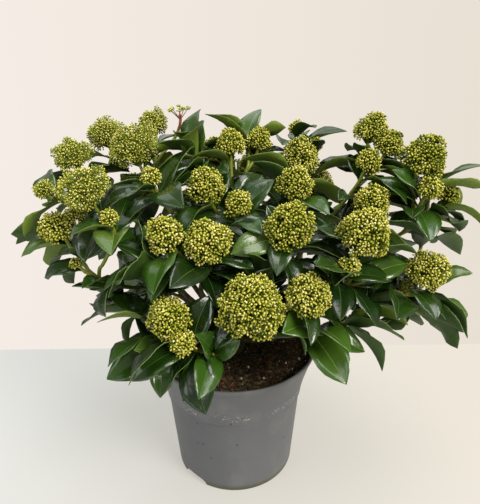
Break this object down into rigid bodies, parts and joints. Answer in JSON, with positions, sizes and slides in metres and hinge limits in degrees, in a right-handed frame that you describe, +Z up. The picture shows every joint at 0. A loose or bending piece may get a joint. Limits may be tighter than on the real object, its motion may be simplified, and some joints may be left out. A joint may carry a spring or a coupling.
{
  "type": "potted skimmia shrub",
  "caption": "Rounded evergreen shrub with glossy pointed leaves and domed green flower heads, growing in a tapered grey nursery pot with a flared collar.",
  "frame": {"origin": "centre of the pot's flat underside, on the surface the plant stands on", "axes": "+Z up, -Y the front as seen from a step away, +X to the right"},
  "size_m": [0.6023, 0.4196, 0.5305],
  "materials": {
    "pot": "matt grey moulded plastic, a little dusty",
    "soil": "loose dark peat with fibres and white perlite",
    "bark": "smooth brown-green young bark",
    "foliage": "glossy dark green leaves, yellow-green flower buds and stalks"
  },
  "bodies": {
    "root": {"pot": "pot", "soil": "soil", "trunk": "bark", "bough_left_crown": "bark", "bough_left_side": "bark", "bough_upper_left": "bark", "bough_centre_left": "bark", "bough_front_left": "bark", "bough_lower_left": "bark", "bough_centre_top": "bark", "bough_front_centre": "bark", "bough_centre_right": "bark", "bough_lower_right": "bark", "bough_lower_back_left": "bark", "bough_lower_back_right": "bark", "bough_right": "bark", "bough_right_side": "bark", "bough_far_right": "bark", "bough_right_crown": "bark", "bough_back_right": "bark", "bough_back_centre": "bark", "bough_back_left": "bark", "foliage_left_crown": "foliage", "foliage_left_side": "foliage", "foliage_upper_left": "foliage", "foliage_centre_left": "foliage", "foliage_front_left": "foliage", "foliage_lower_left": "foliage", "foliage_centre_top": "foliage", "foliage_front_centre": "foliage", "foliage_centre_right": "foliage", "foliage_lower_right": "foliage", "foliage_lower_back_left": "foliage", "foliage_lower_back_right": "foliage", "foliage_right": "foliage", "foliage_right_side": "foliage", "foliage_far_right": "foliage", "foliage_right_crown": "foliage", "foliage_back_right": "foliage", "foliage_back_centre": "foliage", "foliage_back_left": "foliage"}
  },
  "joints": []
}
